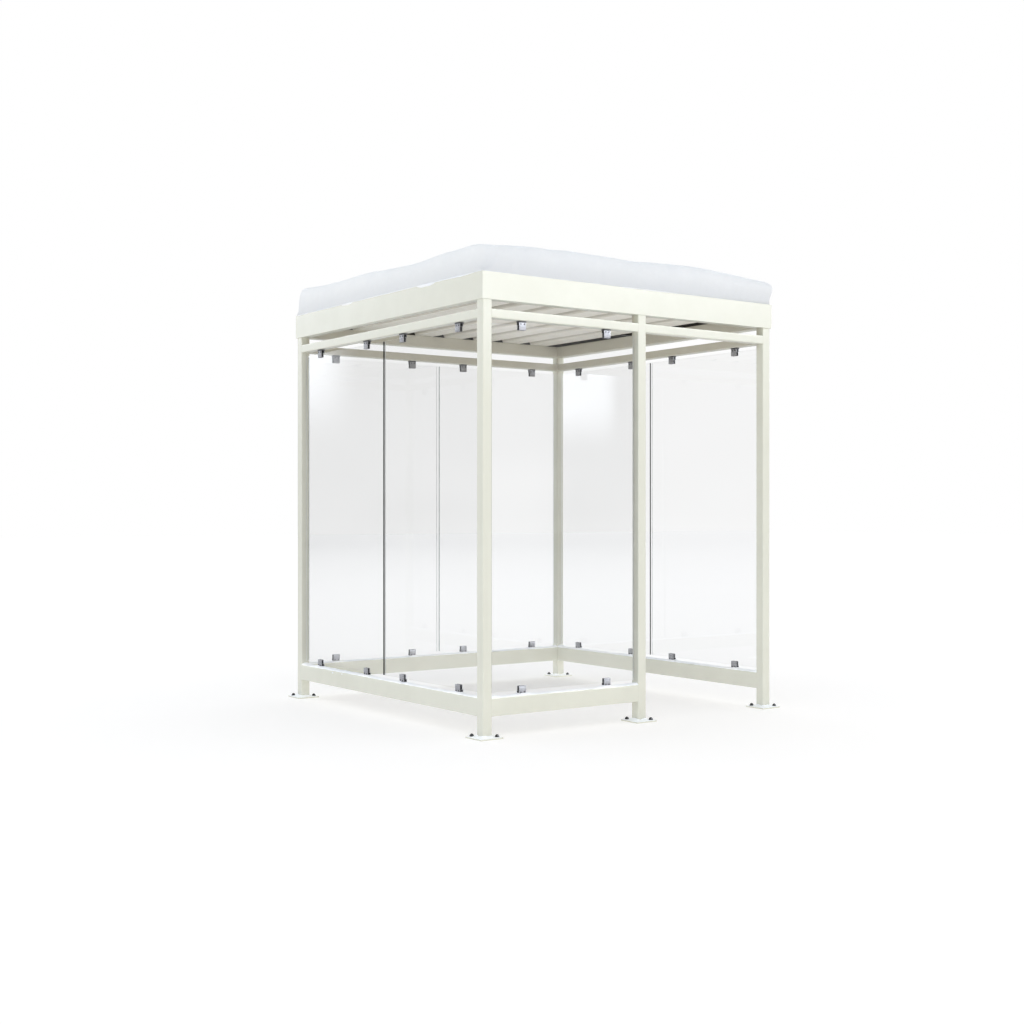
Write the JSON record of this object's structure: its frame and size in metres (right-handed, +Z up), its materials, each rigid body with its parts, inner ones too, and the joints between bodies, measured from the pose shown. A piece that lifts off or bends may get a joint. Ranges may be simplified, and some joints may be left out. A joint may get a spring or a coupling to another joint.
{
  "type": "smoking shelter",
  "caption": "Square open-fronted shelter of coated steel tube with clamped glass walls, a ribbed roof sheet behind a flat fascia, and settled snow on top.",
  "frame": {"origin": "middle of the square plan at ground level, under the centre of the post square", "axes": "+X to the right seen from the open front, +Y from the open front to the rear, +Z up"},
  "size_m": [2.29, 2.29, 2.7585],
  "materials": {
    "coating": "satin",
    "roof_sheet": "satin",
    "clamp_metal": "satin",
    "rubber": "matte",
    "glass": "gloss",
    "snow": "matte"
  },
  "bodies": {
    "root": {"base_plate_front_left": "coating", "base_plate_front_middle": "coating", "base_plate_front_right": "coating", "base_plate_rear_left": "coating", "base_plate_rear_right": "coating", "post_front_left": "coating", "post_front_middle": "coating", "post_front_right": "coating", "post_rear_left": "coating", "post_rear_right": "coating", "bottom_rail_front": "coating", "bottom_rail_left": "coating", "bottom_rail_right": "coating", "bottom_rail_rear": "coating", "top_rail_front_bay": "coating", "top_rail_entrance": "coating", "top_rail_left": "coating", "top_rail_right": "coating", "top_rail_rear": "coating", "roof_beam_front": "coating", "roof_beam_left": "coating", "roof_beam_right": "coating", "roof_beam_rear": "coating", "fascia_front": "coating", "fascia_left": "coating", "fascia_right": "coating", "fascia_rear": "coating", "roof_sheet": "roof_sheet", "glass_front_bay": "glass", "glass_left_front": "glass", "glass_left_rear": "glass", "glass_right_front": "glass", "glass_right_rear": "glass", "glass_rear_left": "glass", "glass_rear_right": "glass", "clamps_front": "clamp_metal", "clamps_left": "clamp_metal", "clamps_right": "clamp_metal", "clamps_rear": "clamp_metal", "clamp_linings": "rubber", "rail_snow": "snow", "roof_snow": "snow"}
  },
  "joints": []
}
